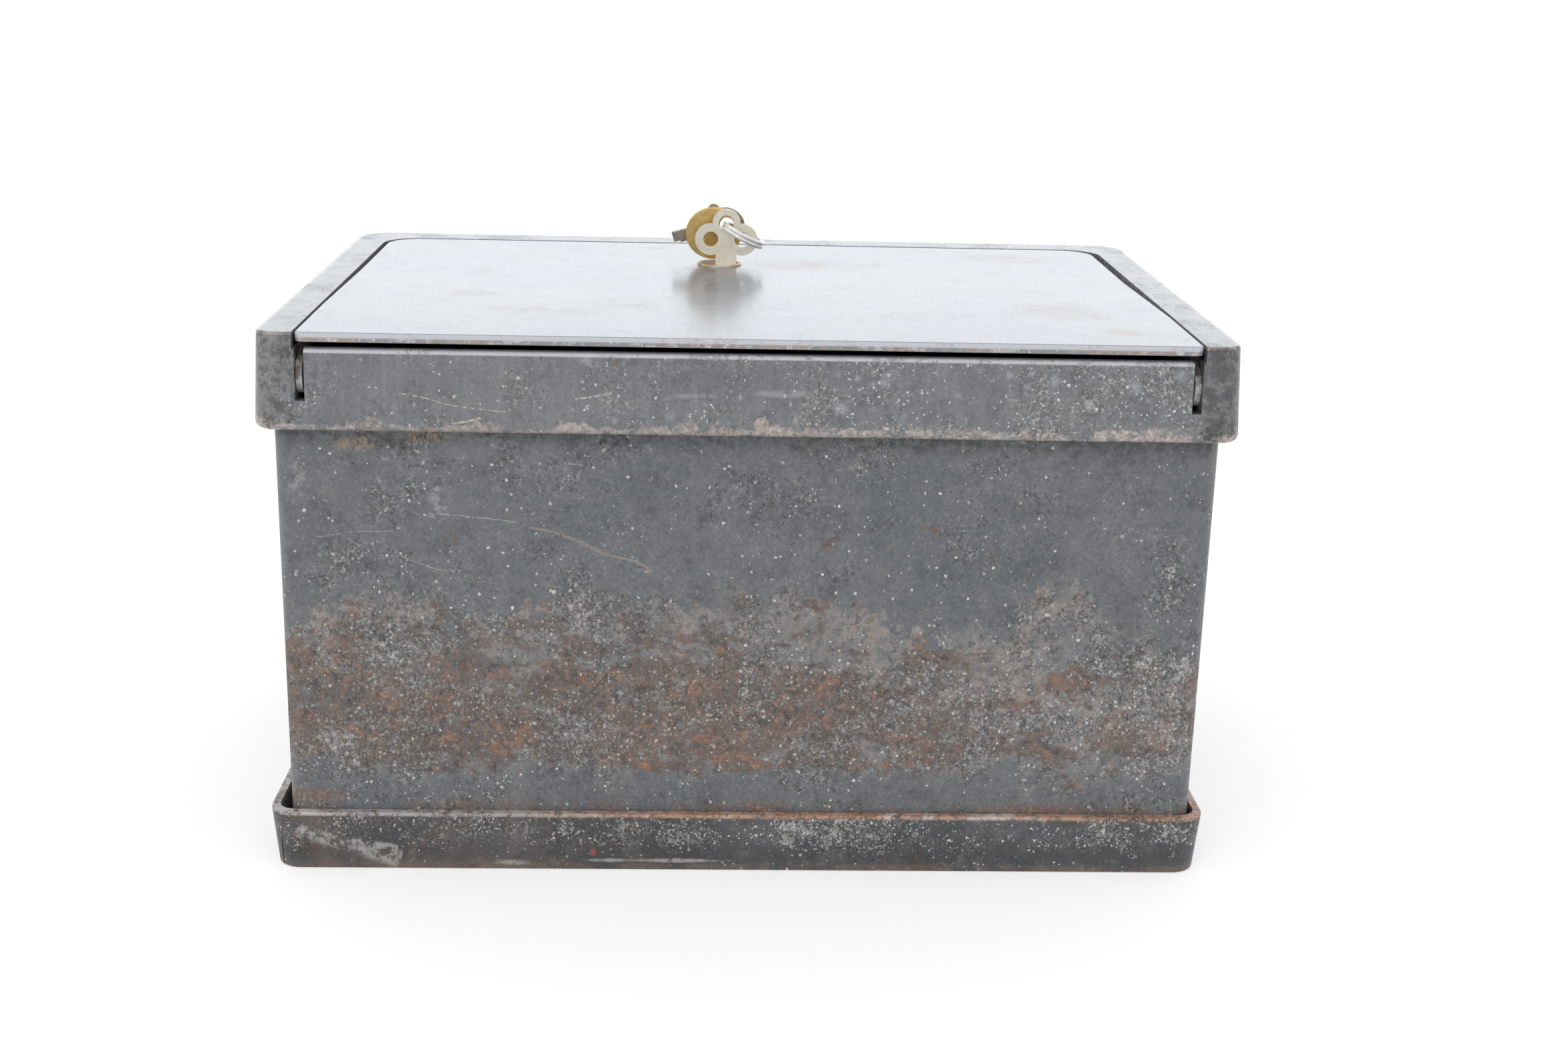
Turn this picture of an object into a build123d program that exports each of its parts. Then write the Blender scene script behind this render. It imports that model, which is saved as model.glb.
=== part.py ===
from build123d import *
from math import cos, degrees, hypot, radians, sin
import os

# Strongbox: a folded steel box on a plinth band, with a heavy rim and a drop-in lid on two hinge arms.
# The box stands on z = 0, centred on the z axis. The hinge side, its rear, faces -Y and the lock side
# faces +Y. Sizes are millimetres, angles are degrees.

# Body
body_width = 306.3
body_depth = 208.1
body_corner_r = 5.5
wall_t = 2.6
foot_width = 12.0
foot_gap = 0.05
base_plate_t = 3.0
total_height = 184.3

# Plinth band round the foot
plinth_height = 20.5
plinth_t = 3.0
plinth_side_gap = 2.95
plinth_face_gap = 0.3
plinth_lean = 2.0
plinth_offset = -1.0
plinth_corner_r = 8.5
plinth_edge_r = 0.8
seam_width = 0.5
seam_depth = 1.2
seam_turn = 230.0
seam_height = 10.8

# Rim frame
rim_height = 31.6
skirt_t = 3.6
rim_clearance = 0.2
rim_flare = 1.7
flange_t = 3.0
flange_side = 12.2
flange_front = 14.6
rim_rear_corner_r = 6.5
rim_front_corner_r = 13.0
rim_lower_edge_r = 2.2
rim_upper_edge_r = 1.0
opening_corner_r = 14.0
rear_edge_r = 1.5

# Lid
lid_t = 3.0
lid_gap_left = 1.6
lid_gap_right = 2.8
lid_gap_front = 1.3
lid_gap_rear = 2.2
ear_gap = 0.7
ear_relief = 0.6
ear_taper = 70.0
lid_edge_r = 0.7
lid_corner_r = 12.9
lid_rear_corner_r = 3.0

# Hinge: flat arms under the lid, round knuckles in slots of the rear skirt, stub pins in brackets
slot_width = 3.1
post_width = 12.65
slot_floor_gap = 1.0
arm_slot_gap = 0.15
arm_t = 2.0
arm_length = 45.0
arm_flange_width = 16.0
arm_tip_height = 6.0
arm_heel = 8.0
arm_bend_r = 1.6
arm_clear = 5.0
pivot_inset = 7.0
knuckle_inset = 0.7
swing_clearance = 0.45
pin_r = 2.5
pin_running = 0.08
pin_seat = 0.03
pin_proud = 0.9
bracket_gap = 0.35
bracket_length = 26.0
bracket_height = 17.0
bracket_corner = 1.6
rear_wall_drop = 1.5

# Angle strips that carry the closed lid
rest_gap = 0.3
rest_t = 2.5
rest_width = 15.0
rest_leg = 12.0
rest_end_gap = 3.0

# Rivets and studs
rivet_r = 2.0
rivet_hole_gap = 0.05
rivet_head_r = 3.2
rivet_head_h = 1.3
rim_rivet_head_r = 2.5
rim_rivet_head_h = 0.6
rim_rivet_height = 4.3
rim_rivet_offset = 3.1
stud_r = 1.5
stud_head_r = 2.4
stud_head_h = 0.9

# Lock: collar and barrel in the lid, case and cap under it
lock_offset = -10.15
lock_setback = 51.3
collar_r = 8.5
collar_height = 0.6
collar_bush_r = 7.9
barrel_head_r = 7.2
barrel_body_r = 5.6
journal_r = 3.4
turn_gap = 0.08
bush_seat = 0.04
barrel_recess = 1.2
case_half_width = 26.0
case_back = 21.0
case_height = 15.0
case_top_t = 2.0
case_side_t = 1.6
case_corner_r = 2.0
cap_t = 1.6
cap_screw_inset = 4.2
boss_r = 2.9
screw_r = 1.2
screw_head_r = 2.2
screw_head_h = 1.1
screw_pitch_gap = 0.05

# Levers, bolt and cam inside the lock case
lever_count = 3
lever_t = 1.8
stack_gap = 0.35
lever_lift_first = 4.5
lever_lift_step = 1.0
lever_pivot_x = -17.0
lever_pivot_y = 10.0
lever_boss_r = 4.2
lever_post_r = 2.0
lever_belly_gap = 0.35
lever_body_low = 5.5
lever_body_high = 14.0
lever_end_x = 8.5
lever_end_low = 3.5
lever_end_width = 12.0
lever_end_high = 22.0
gate_gap = 0.5
pocket_gap = 1.2
spring_t = 0.6
spring_x = -9.0
spring_reach = 7.0
spring_rise = 7.5
bolt_tail_t = 2.6
bolt_tail_left = 12.0
bolt_tail_right = 18.0
bolt_head_width = 34.0
bolt_head_back = 28.5
bolt_reach = 0.5
bolt_top_gap = 0.6
bolt_side_gap = 0.25
tail_margin = 3.4
stump_r = 2.0
stump_x = 14.0
stump_y = 8.0
crank_r = 7.2
crank_pin_r = 1.5
crank_gap = 0.45
crank_turn = 90.0
cam_t = 1.8
cam_rim = 0.4
journal_gap = 0.4
rest_reach_gap = 1.5

# Key with a bow of three rings
key_offset = 2.5
key_width = 8.1
key_t = 1.6
key_slot_gap = 0.15
bow_side_x = 5.95
bow_side_z = 9.0
bow_top_z = 15.3
bow_side_r = 6.05
bow_top_r = 5.3
bow_hole_r = 2.83
bow_edge_r = 0.35
key_step = 0.6
key_slot_floor = 0.5
key_tip_gap = 0.2

# Split ring through the bow's top hole, brass disc tag and spare key on it
ring_mean_r = 8.1
ring_wire_r = 0.8
ring_slope = 27.0
ring_rest_x = -0.7
ring_rest_z = -0.8
ring_swing = 24.0
lean = 15.0
tag_behind = 3.05
tag_r = 10.7
tag_t = 1.2
tag_centre_u = -4.9
tag_centre_v = -4.8
tag_hole_r = 2.9
spare_behind = 1.4
spare_t = 1.2
spare_bow_r = 7.8
spare_bow_u = -0.6
spare_bow_v = -2.2
spare_lobe_r = 2.4
spare_lobe_u = -4.9
spare_lobe_v = 4.6
spare_hole_r = 3.3
spare_tip_u = -20.3
spare_tip_v = -7.8
spare_blade_w = 6.2
spare_step = 1.5
spare_step_length = 2.4

# Places that follow from the sizes
inner_x = body_width / 2 - wall_t
inner_y = body_depth / 2 - wall_t
rim_x = body_width / 2 + rim_clearance + skirt_t
rim_y = body_depth / 2 + rim_clearance + skirt_t
rim_bottom = total_height - rim_height
flange_under = total_height - flange_t
lid_under = total_height - lid_t
opening_x = rim_x - flange_side
opening_front = rim_y - flange_front
slot_outer = rim_x - post_width
slot_inner = slot_outer - slot_width
rear_skirt_top = lid_under - lid_gap_rear
shell_bottom = base_plate_t

# The lid's underside stays clear of the rear skirt's rounded edge all the way round the pivot
edge_back = pivot_inset - rear_edge_r
edge_drop = lid_gap_rear + rear_edge_r
edge_reach = swing_clearance + rear_edge_r
pivot_drop = (edge_back**2 + edge_drop**2 - edge_reach**2) / (2 * (edge_drop - edge_reach))
pivot_y = pivot_inset - rim_y
pivot_z = lid_under - pivot_drop
knuckle_r = pivot_inset - knuckle_inset
slot_bottom = pivot_z - knuckle_r - slot_floor_gap
rear_wall_top = slot_bottom - rear_wall_drop
arm_outer = slot_outer - arm_slot_gap
arm_end_y = pivot_y + arm_length
bracket_inner = arm_outer + bracket_gap
bracket_rear = bracket_gap + skirt_t - rim_y
bracket_bottom = rear_wall_top + rest_gap

rest_top = lid_under - rest_gap
rest_under = rest_top - rest_t
rest_rear = arm_end_y + arm_clear
rest_front_y = inner_y - rest_width
rest_side_x = inner_x - rest_width
rest_rivet_z = rest_top - rest_leg / 2
rest_side_length = rest_front_y - rest_end_gap - rest_rear
rest_side_mid = rest_rear + rest_side_length / 2
rest_front_length = 2 * (rest_side_x - rest_end_gap)

lid_left = lid_gap_left - opening_x
lid_right = opening_x - lid_gap_right
lid_front = opening_front - lid_gap_front
ear_opening = slot_outer + ear_relief
lid_ear_x = ear_opening - ear_gap
ear_front = rest_rear - arm_clear
taper_front = ear_front + ear_taper

lock_x = lock_offset
lock_y = lid_front - lock_setback
collar_top = total_height + collar_height
case_roof = lid_under - case_top_t
case_floor = lid_under - case_height
bolt_travel = 2 * crank_r * sin(radians(crank_turn / 2))
bolt_tip = rest_front_y - rest_reach_gap
case_front = bolt_tip - bolt_reach
case_depth = case_front - lock_y + case_back
case_mid_y = case_front - case_depth / 2
lever_pitch = lever_t + stack_gap
levers_bottom = case_roof - lever_count * lever_pitch
tail_top = levers_bottom - stack_gap
tail_bottom = tail_top - bolt_tail_t
cam_top = tail_bottom - stack_gap
cam_bottom = cam_top - cam_t
bolt_head_top = rest_under - bolt_top_gap
barrel_floor = tail_top + stack_gap / 2
key_floor = barrel_floor + key_slot_floor
key_tip = key_floor + key_tip_gap
bolt_tip_local = bolt_tip - lock_y

# Rivet places: the foot, the rim, the hinge brackets and the lid rests
foot_rivet_x = inner_x - foot_width / 2
foot_rivet_y = inner_y - foot_width / 2
foot_rivet_places = [(x, y) for x in (-foot_rivet_x, foot_rivet_x) for y in (-inner_y / 2, inner_y / 2)]
foot_rivet_places += [(x, y) for x in (-inner_x / 2, inner_x / 2) for y in (-foot_rivet_y, foot_rivet_y)]
rim_rivet_z = rim_bottom + rim_rivet_height
bracket_rivet_ys = [bracket_rear + bracket_length * share for share in (0.55, 0.85)]
bracket_rivet_z = bracket_bottom + bracket_height / 2
side_rivet_ys = [rest_side_mid - rest_side_length / 3, rest_side_mid + rest_side_length / 3]
front_rivet_xs = [-rest_front_length / 3, 0, rest_front_length / 3]
side_hole_places = [(0, 0, rim_rivet_z)]
side_hole_places += [(0, y, bracket_rivet_z) for y in bracket_rivet_ys]
side_hole_places += [(0, y, rest_rivet_z) for y in side_rivet_ys]
front_hole_places = [(x, body_depth / 2, rest_rivet_z) for x in front_rivet_xs]


# Round holes for rivets, drilled from side to side or from rear to front
def drill_across(places, length):
    with Locations(*places):
        Cylinder(rivet_r + rivet_hole_gap, length, rotation=(0, 90, 0), mode=Mode.SUBTRACT)


def drill_along(places, length):
    with Locations(*places):
        Cylinder(rivet_r + rivet_hole_gap, length, rotation=(90, 0, 0), mode=Mode.SUBTRACT)


# A rivet or stud along +Z: the domed head lies below z = 0, the shank above it
def dome_rivet(shank_r, grip, head_r, head_h):
    with BuildPart() as rivet:
        with BuildSketch(Plane.XZ):
            with BuildLine():
                TangentArc((0, -head_h), (head_r, 0), tangent=(1, 0))
                Polyline((head_r, 0), (shank_r, 0), (shank_r, grip), (0, grip), (0, -head_h))
            make_face()
        revolve(axis=Axis.Z)
    return rivet.part


# A rectangle with one radius on its rear corners and another on its front corners
def two_radius_rectangle(width, depth, rear_r, front_r):
    Rectangle(width, depth)
    fillet(vertices().group_by(Axis.Y)[0], rear_r)
    fillet(vertices().group_by(Axis.Y)[-1], front_r)


# Base plate: fills the plinth band and closes the bottom of the box
plinth_foot_x = body_width / 2 + plinth_side_gap - plinth_lean
plinth_foot_y = body_depth / 2 + plinth_face_gap

with BuildPart() as base_plate:
    with BuildSketch():
        with Locations((plinth_offset, 0)):
            RectangleRounded(2 * plinth_foot_x, 2 * plinth_foot_y, plinth_corner_r - plinth_t)
        with Locations(*foot_rivet_places):
            Circle(rivet_r + rivet_hole_gap, mode=Mode.SUBTRACT)
    extrude(amount=base_plate_t)

# Case shell: four walls folded from one sheet
with BuildPart() as case_shell:
    with BuildSketch(Plane.XY.offset(shell_bottom)):
        RectangleRounded(body_width, body_depth, body_corner_r)
        RectangleRounded(2 * inner_x, 2 * inner_y, body_corner_r - wall_t, mode=Mode.SUBTRACT)
    extrude(amount=flange_under - shell_bottom)
    # the rear wall ends below the hinge slots
    with BuildSketch(Plane.XY.offset(rear_wall_top)):
        with Locations((0, -body_depth / 2)):
            Rectangle(body_width, 2 * body_corner_r)
    extrude(amount=total_height - rear_wall_top, mode=Mode.SUBTRACT)
    drill_across(side_hole_places, 2 * body_width)
    drill_along([(rim_rivet_offset, 0, rim_rivet_z)], 2 * body_depth)
    drill_along(front_hole_places, 4 * wall_t)

# Foot strips: flat strips inside the lower edge of the walls, which the floor is riveted to
with BuildPart() as foot_strips:
    with BuildSketch(Plane.XY.offset(shell_bottom)):
        with GridLocations(0, 2 * foot_rivet_y - 2 * foot_gap, 1, 2):
            Rectangle(2 * (inner_x - body_corner_r), foot_width)
        with GridLocations(2 * foot_rivet_x - 2 * foot_gap, 0, 2, 1):
            Rectangle(foot_width, 2 * (inner_y - foot_width - 2 * foot_gap))
        with Locations(*foot_rivet_places):
            Circle(rivet_r + rivet_hole_gap, mode=Mode.SUBTRACT)
    extrude(amount=wall_t)

# Plinth band: a flat bar bent round the foot, its sides leaning in to the bottom, butted at one corner
plinth_top_x = body_width / 2 + plinth_side_gap + plinth_t
plinth_top_y = body_depth / 2 + plinth_face_gap + plinth_t
plinth_inner_r = plinth_corner_r - plinth_t
seam_inset = plinth_corner_r + plinth_lean / 2
seam_centre = (plinth_offset + seam_inset - plinth_top_x, plinth_corner_r - plinth_top_y, 0)

with BuildPart() as plinth_band:
    with BuildSketch():
        with Locations((plinth_offset, 0)):
            RectangleRounded(2 * (plinth_top_x - plinth_lean), 2 * plinth_top_y, plinth_corner_r)
    with BuildSketch(Plane.XY.offset(plinth_height)):
        with Locations((plinth_offset, 0)):
            RectangleRounded(2 * plinth_top_x, 2 * plinth_top_y, plinth_corner_r)
    loft()
    fillet(edges().group_by(Axis.Z)[-1] + edges().group_by(Axis.Z)[0], plinth_edge_r)
    with BuildSketch():
        with Locations((plinth_offset, 0)):
            RectangleRounded(2 * plinth_foot_x, 2 * plinth_foot_y, plinth_inner_r)
    with BuildSketch(Plane.XY.offset(plinth_height)):
        with Locations((plinth_offset, 0)):
            RectangleRounded(2 * (plinth_foot_x + plinth_lean), 2 * plinth_foot_y, plinth_inner_r)
    loft(mode=Mode.SUBTRACT)
    # the open lower part of the butt joint, in the bend at the rear left corner
    with BuildSketch():
        with Locations(Location(seam_centre, (0, 0, seam_turn)) * Pos(plinth_corner_r, 0)):
            Rectangle(2 * seam_depth, seam_width)
    extrude(amount=seam_height, mode=Mode.SUBTRACT)

with BuildPart() as base_rivets:
    with Locations(*[Location((x, y, shell_bottom + wall_t), (180, 0, 0)) for x, y in foot_rivet_places]):
        add(dome_rivet(rivet_r, shell_bottom + wall_t, rivet_head_r, rivet_head_h))

# Rim frame: a heavy skirt round the top of the body, turned in to a flange on three sides
with BuildPart() as rim_frame:
    with BuildSketch(Plane.XY.offset(rim_bottom)):
        two_radius_rectangle(
            2 * (rim_x + rim_flare),
            2 * (rim_y + rim_flare),
            rim_rear_corner_r + rim_flare,
            rim_front_corner_r + rim_flare,
        )
    with BuildSketch(Plane.XY.offset(total_height)):
        two_radius_rectangle(2 * rim_x, 2 * rim_y, rim_rear_corner_r, rim_front_corner_r)
    loft()
    fillet(edges().group_by(Axis.Z)[0], rim_lower_edge_r)
    fillet(edges().group_by(Axis.Z)[-1], rim_upper_edge_r)
    # the inside fits over the body up to the flange
    with BuildSketch(Plane.XY.offset(rim_bottom)):
        RectangleRounded(
            body_width + 2 * rim_clearance,
            body_depth + 2 * rim_clearance,
            body_corner_r + rim_clearance,
        )
    extrude(amount=rim_height - flange_t, mode=Mode.SUBTRACT)
    # the lid opening runs out to the rear, wider where the hinge arms stand
    with BuildSketch(Plane.XY.offset(flange_under)):
        with BuildLine():
            Polyline(
                (-ear_opening, -2 * rim_y),
                (-ear_opening, ear_front),
                (-opening_x, taper_front),
                (-opening_x, opening_front),
                (opening_x, opening_front),
                (opening_x, taper_front),
                (ear_opening, ear_front),
                (ear_opening, -2 * rim_y),
                close=True,
            )
        make_face()
        fillet(vertices().group_by(Axis.Y)[-1], opening_corner_r)
    extrude(amount=flange_t, mode=Mode.SUBTRACT)
    # the rear skirt is lower than the flange and has two slots for the knuckles
    with BuildSketch(Plane.XY.offset(rear_skirt_top)):
        with Locations((0, -rim_y)):
            Rectangle(2 * ear_opening, 3 * skirt_t)
    extrude(amount=rim_height, mode=Mode.SUBTRACT)
    rear_top_edge = edges().filter_by(Axis.X).filter_by_position(Axis.Z, rear_skirt_top, rear_skirt_top)
    fillet(rear_top_edge.sort_by(Axis.Y)[0], rear_edge_r)
    with BuildSketch(Plane.XY.offset(slot_bottom)):
        with Locations((slot_outer - slot_width / 2, -rim_y), (slot_width / 2 - slot_outer, -rim_y)):
            Rectangle(slot_width, 3 * skirt_t)
    extrude(amount=rim_height, mode=Mode.SUBTRACT)
    drill_across([(0, 0, rim_rivet_z)], 2 * body_width)
    drill_along([(rim_rivet_offset, 0, rim_rivet_z)], 2 * body_depth)

# Rim rivets: one in the middle of each side, through the skirt and the wall
rim_face_out = rim_flare * (1 - (rim_rivet_height - rim_rivet_head_r) / rim_height)
rim_grip = skirt_t + rim_clearance + wall_t + rim_face_out
rivet_face_x = rim_x + rim_face_out
rivet_face_y = rim_y + rim_face_out

with BuildPart() as rim_rivets:
    with Locations(
        Plane(origin=(rim_rivet_offset, -rivet_face_y, rim_rivet_z), z_dir=(0, 1, 0)),
        Plane(origin=(rim_rivet_offset, rivet_face_y, rim_rivet_z), z_dir=(0, -1, 0)),
        Plane(origin=(-rivet_face_x, 0, rim_rivet_z), z_dir=(1, 0, 0)),
        Plane(origin=(rivet_face_x, 0, rim_rivet_z), z_dir=(-1, 0, 0)),
    ):
        add(dome_rivet(rivet_r, rim_grip, rim_rivet_head_r, rim_rivet_head_h))

# Hinge brackets: thick plates on the side walls, each with a stub pin for one knuckle
with BuildPart() as hinge_bracket_right:
    with BuildSketch(Plane.YZ.offset(bracket_inner)):
        with Locations((bracket_rear + bracket_length / 2, bracket_bottom + bracket_height / 2)):
            RectangleRounded(bracket_length, bracket_height, arm_bend_r)
        with Locations((pivot_y, pivot_z)):
            Circle(pin_r + pin_seat, mode=Mode.SUBTRACT)
        with Locations(*[(y, bracket_rivet_z) for y in bracket_rivet_ys]):
            Circle(rivet_r + rivet_hole_gap, mode=Mode.SUBTRACT)
    extrude(amount=inner_x - bracket_inner)
    # the outer rear corner is cut off to clear the bend inside the rim
    with BuildSketch(Plane.XY.offset(bracket_bottom)):
        with BuildLine():
            Polyline(
                (inner_x, bracket_rear),
                (inner_x, bracket_rear + bracket_corner),
                (inner_x - bracket_corner, bracket_rear),
                close=True,
            )
        make_face()
    extrude(amount=bracket_height, mode=Mode.SUBTRACT)

with BuildPart() as hinge_bracket_left:
    mirror(hinge_bracket_right.part, about=Plane.YZ)

pin_start = arm_outer - arm_t - pin_proud

with BuildPart() as hinge_pin_right:
    with BuildSketch(Plane.YZ.offset(pin_start)):
        with Locations((pivot_y, pivot_z)):
            Circle(pin_r)
    extrude(amount=inner_x - bracket_corner - pin_start)
    chamfer(edges().group_by(Axis.X)[0], pin_proud / 3)

with BuildPart() as hinge_pin_left:
    mirror(hinge_pin_right.part, about=Plane.YZ)

bracket_rivet_length = body_width / 2 - bracket_inner
bracket_rivet_x = body_width / 2 - bracket_rivet_length / 2

with BuildPart() as bracket_rivets:
    with Locations(*[(side * bracket_rivet_x, y, bracket_rivet_z) for side in (-1, 1) for y in bracket_rivet_ys]):
        Cylinder(rivet_r, bracket_rivet_length, rotation=(0, 90, 0))

# Lid rests: angle strips on the side walls and the front wall
with BuildPart() as lid_rest_right:
    with BuildSketch(Plane.XZ.offset(-rest_rear)):
        with BuildLine():
            Polyline(
                (inner_x, rest_top),
                (rest_side_x, rest_top),
                (rest_side_x, rest_under),
                (inner_x - rest_t, rest_under),
                (inner_x - rest_t, rest_top - rest_leg),
                (inner_x, rest_top - rest_leg),
                close=True,
            )
        make_face()
    extrude(amount=-rest_side_length)
    drill_across([(inner_x, y, rest_rivet_z) for y in side_rivet_ys], 4 * rest_t)

with BuildPart() as lid_rest_left:
    mirror(lid_rest_right.part, about=Plane.YZ)

with BuildPart() as lid_rest_front:
    with BuildSketch(Plane.YZ.offset(-rest_front_length / 2)):
        with BuildLine():
            Polyline(
                (inner_y, rest_top),
                (rest_front_y, rest_top),
                (rest_front_y, rest_under),
                (inner_y - rest_t, rest_under),
                (inner_y - rest_t, rest_top - rest_leg),
                (inner_y, rest_top - rest_leg),
                close=True,
            )
        make_face()
    extrude(amount=rest_front_length)
    drill_along(front_hole_places, 4 * (rest_t + wall_t))

rest_grip = rest_t + wall_t
side_places = [
    Plane(origin=(side * (inner_x - rest_t), y, rest_rivet_z), z_dir=(side, 0, 0))
    for side in (-1, 1)
    for y in side_rivet_ys
]
front_places = [
    Plane(origin=(x, inner_y - rest_t, rest_rivet_z), z_dir=(0, 1, 0)) for x in front_rivet_xs
]

with BuildPart() as rest_rivets:
    with Locations(*side_places, *front_places):
        add(dome_rivet(rivet_r, rest_grip, rivet_head_r, rivet_head_h))

# Lid plate: flat, with ears over the hinge arms and a round hole for the lock collar
with BuildPart() as lid_plate:
    with BuildSketch(Plane.XY.offset(lid_under)):
        with BuildLine():
            Polyline(
                (-lid_ear_x, -rim_y),
                (-lid_ear_x, ear_front),
                (lid_left, taper_front),
                (lid_left, lid_front),
                (lid_right, lid_front),
                (lid_right, taper_front),
                (lid_ear_x, ear_front),
                (lid_ear_x, -rim_y),
                close=True,
            )
        make_face()
        fillet(vertices().group_by(Axis.Y)[-1], lid_corner_r)
        fillet(vertices().group_by(Axis.Y)[0], lid_rear_corner_r)
        with Locations((lock_x, lock_y)):
            Circle(collar_bush_r + bush_seat, mode=Mode.SUBTRACT)
    extrude(amount=lid_t)
    fillet(faces().sort_by(Axis.Z)[-1].outer_wire().edges(), lid_edge_r)

# Hinge arms: an upright leg that ends in the knuckle, bent over into a flange under the lid
arm_heel_y = pivot_y + arm_heel
arm_flange_mid_y = (arm_heel_y + arm_end_y) / 2
arm_stud_x = arm_outer - arm_flange_width * 0.55
arm_stud_ys = [arm_heel_y + (arm_end_y - arm_heel_y) * share for share in (0.2, 0.5, 0.8)]

with BuildPart() as hinge_arm_right:
    with BuildSketch(Plane.YZ.offset(arm_outer - arm_t)):
        with BuildLine(mode=Mode.PRIVATE) as arm_outline:
            CenterArc((pivot_y, pivot_z), knuckle_r, 0, 360)
            Polyline(
                (arm_heel_y, lid_under),
                (arm_end_y, lid_under),
                (arm_end_y, lid_under - arm_tip_height),
                close=True,
            )
        make_hull(arm_outline.edges())
        with Locations((pivot_y, pivot_z)):
            Circle(pin_r + pin_running, mode=Mode.SUBTRACT)
    extrude(amount=arm_t)
    with BuildSketch(Plane.XY.offset(lid_under)):
        with Locations((arm_outer - arm_flange_width / 2, arm_flange_mid_y)):
            Rectangle(arm_flange_width, arm_end_y - arm_heel_y)
        with Locations(*[(arm_stud_x, y) for y in arm_stud_ys]):
            Circle(stud_r + rivet_hole_gap, mode=Mode.SUBTRACT)
    extrude(amount=-arm_t)
    bend_edge = edges().filter_by(Axis.Y).group_by(Axis.Z)[-1].sort_by(Axis.X)[-1]
    fillet(bend_edge, arm_bend_r)

with BuildPart() as hinge_arm_left:
    mirror(hinge_arm_right.part, about=Plane.YZ)

# Studs that stand on the lid's underside, riveted over the arm flanges
arm_stud_places = [(side * arm_stud_x, y) for side in (-1, 1) for y in arm_stud_ys]

with BuildPart() as arm_studs:
    with Locations(*[(x, y, lid_under - arm_t) for x, y in arm_stud_places]):
        add(dome_rivet(stud_r, arm_t, stud_head_r, stud_head_h))

# Lock collar: a flanged bush through the lid and the roof of the lock case
with BuildPart() as lock_collar:
    with BuildSketch(Plane.XY.offset(case_roof)):
        with Locations((lock_x, lock_y)):
            Circle(collar_bush_r)
    extrude(amount=collar_top - case_roof)
    with BuildSketch(Plane.XY.offset(total_height)):
        with Locations((lock_x, lock_y)):
            Circle(collar_r)
    extrude(amount=collar_height)
    fillet(edges().group_by(Axis.Z)[-1], collar_height / 3)
    with BuildSketch(Plane.XY.offset(case_roof)):
        with Locations((lock_x, lock_y)):
            Circle(barrel_head_r + turn_gap)
    extrude(amount=collar_top - case_roof, mode=Mode.SUBTRACT)

# Lock case: a pressed tray, open downwards, on studs under the lid
cap_screw_x = case_half_width - cap_screw_inset
cap_screw_ys = (case_front - cap_screw_inset, case_front - case_depth + cap_screw_inset)
cap_screw_places = [(lock_x + side * cap_screw_x, y) for side in (-1, 1) for y in cap_screw_ys]
bolt_head_bottom = tail_bottom
bolt_mouth_low = bolt_head_bottom - bolt_side_gap
bolt_mouth_high = bolt_head_top + bolt_side_gap

with BuildPart() as lock_case:
    with BuildSketch(Plane.XY.offset(case_floor)):
        with Locations((lock_x, case_mid_y)):
            RectangleRounded(2 * case_half_width, case_depth, case_corner_r)
    extrude(amount=case_height)
    with BuildSketch(Plane.XY.offset(case_floor)):
        with Locations((lock_x, case_mid_y)):
            Rectangle(2 * (case_half_width - case_side_t), case_depth - 2 * case_side_t)
        with Locations(*cap_screw_places):
            Circle(boss_r, mode=Mode.SUBTRACT)
    extrude(amount=case_height - case_top_t, mode=Mode.SUBTRACT)
    with BuildSketch(Plane.XY.offset(case_roof)):
        with Locations((lock_x, lock_y)):
            Circle(collar_bush_r + bush_seat)
    extrude(amount=case_top_t, mode=Mode.SUBTRACT)
    # the bolt's mouth in the front wall
    with Locations((lock_x, case_front, (bolt_mouth_low + bolt_mouth_high) / 2)):
        Box(
            bolt_head_width + 2 * bolt_side_gap,
            4 * case_side_t,
            bolt_mouth_high - bolt_mouth_low,
            mode=Mode.SUBTRACT,
        )
    with Locations(*[(x, y, case_floor) for x, y in cap_screw_places]):
        Cylinder(
            screw_r + screw_pitch_gap,
            case_height - case_top_t,
            align=(Align.CENTER, Align.CENTER, Align.MIN),
            mode=Mode.SUBTRACT,
        )

with BuildPart() as lock_cap:
    with BuildSketch(Plane.XY.offset(case_floor - cap_t)):
        with Locations((lock_x, case_mid_y)):
            RectangleRounded(2 * case_half_width, case_depth, case_corner_r)
        with Locations((lock_x, lock_y)):
            Circle(journal_r + turn_gap, mode=Mode.SUBTRACT)
        with Locations(*cap_screw_places):
            Circle(screw_r + screw_pitch_gap, mode=Mode.SUBTRACT)
    extrude(amount=cap_t)

# Cap screws: slotted round heads under the cap
screw_length = cap_t + case_height - case_top_t - stack_gap

with BuildPart() as cap_screws:
    with Locations(*[(x, y, case_floor - cap_t) for x, y in cap_screw_places]):
        add(dome_rivet(screw_r, screw_length, screw_head_r, screw_head_h))
        with Locations((0, 0, -screw_head_h)):
            Box(2 * screw_head_r, screw_r / 2, screw_head_h, mode=Mode.SUBTRACT)

# Lever post: a fixed pin from the roof of the case to the cap
with BuildPart() as lever_post:
    with BuildSketch(Plane.XY.offset(case_floor)):
        with Locations((lock_x + lever_pivot_x, lock_y + lever_pivot_y)):
            Circle(lever_post_r)
    extrude(amount=case_roof - case_floor)

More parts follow.
